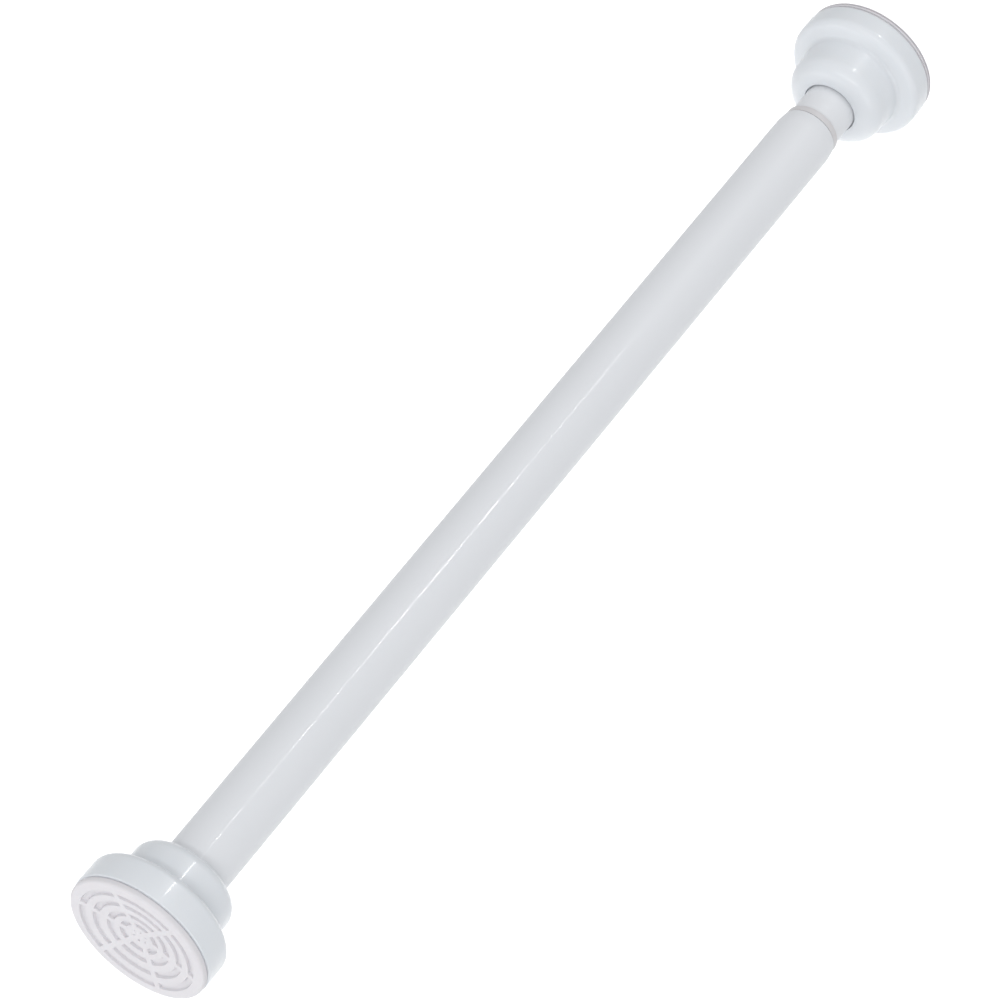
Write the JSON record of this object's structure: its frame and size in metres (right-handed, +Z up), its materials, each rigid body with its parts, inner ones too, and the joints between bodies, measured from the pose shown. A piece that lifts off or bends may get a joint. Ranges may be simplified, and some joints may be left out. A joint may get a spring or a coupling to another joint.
{
  "type": "extendable curtain rod",
  "caption": "Telescoping tension rod: painted steel tubes with stepped round end caps and ribbed wall pads, locked by an inner twist grip and pushed apart by a spring.",
  "frame": {"origin": "centre of the wall face of the pad on the outer tube's end", "axes": "+X along the rod to the inner tube's wall pad, +Z up"},
  "size_m": [0.442, 0.05, 0.05],
  "materials": {
    "painted_tube": "gloss white enamel",
    "white_cap": "gloss white moulding",
    "soft_pad": "matt white",
    "grey_bush": "satin warm grey",
    "nylon": "natural nylon",
    "spring_steel": "zinc plated",
    "ring_rubber": "black"
  },
  "bodies": {
    "outer": {"outer_tube": "painted_tube", "outer_end_cap": "white_cap", "outer_wall_pad": "soft_pad", "guide_bush": "grey_bush"},
    "grip": {"grip_sleeve": "nylon", "friction_ring": "ring_rubber"},
    "cone": {"cone_nut": "nylon"},
    "stem": {"lock_stem": "nylon", "stem_clip": "spring_steel", "tension_spring": "spring_steel"},
    "inner": {"inner_tube": "painted_tube", "inner_end_cap": "white_cap", "inner_wall_pad": "soft_pad", "stem_guide": "nylon", "spring_seat": "nylon"}
  },
  "joints": [
    {"name": "length_slide", "type": "slide", "parent": "outer", "child": "grip", "axis": [1, 0, 0], "range_m": [0, 0.25]},
    {"name": "lock_twist", "type": "hinge", "parent": "grip", "child": "stem", "pos_m": [0.05, 0, 0], "axis": [-1, 0, 0], "range_deg": [0, 720]},
    {"name": "cone_slide", "type": "slide", "parent": "grip", "child": "cone", "axis": [1, 0, 0], "range_m": [0, 0.0025]},
    {"name": "spring_slide", "type": "slide", "parent": "stem", "child": "inner", "axis": [1, 0, 0], "range_m": [-0.0115, 0], "stiffness_N_per_m": 2000, "springref_m": 0.01, "deforming": ["tension_spring"]}
  ],
  "couplings": [
    {"joint": "cone_slide", "follows": "lock_twist", "m_per_rad": 0.00019894}
  ]
}
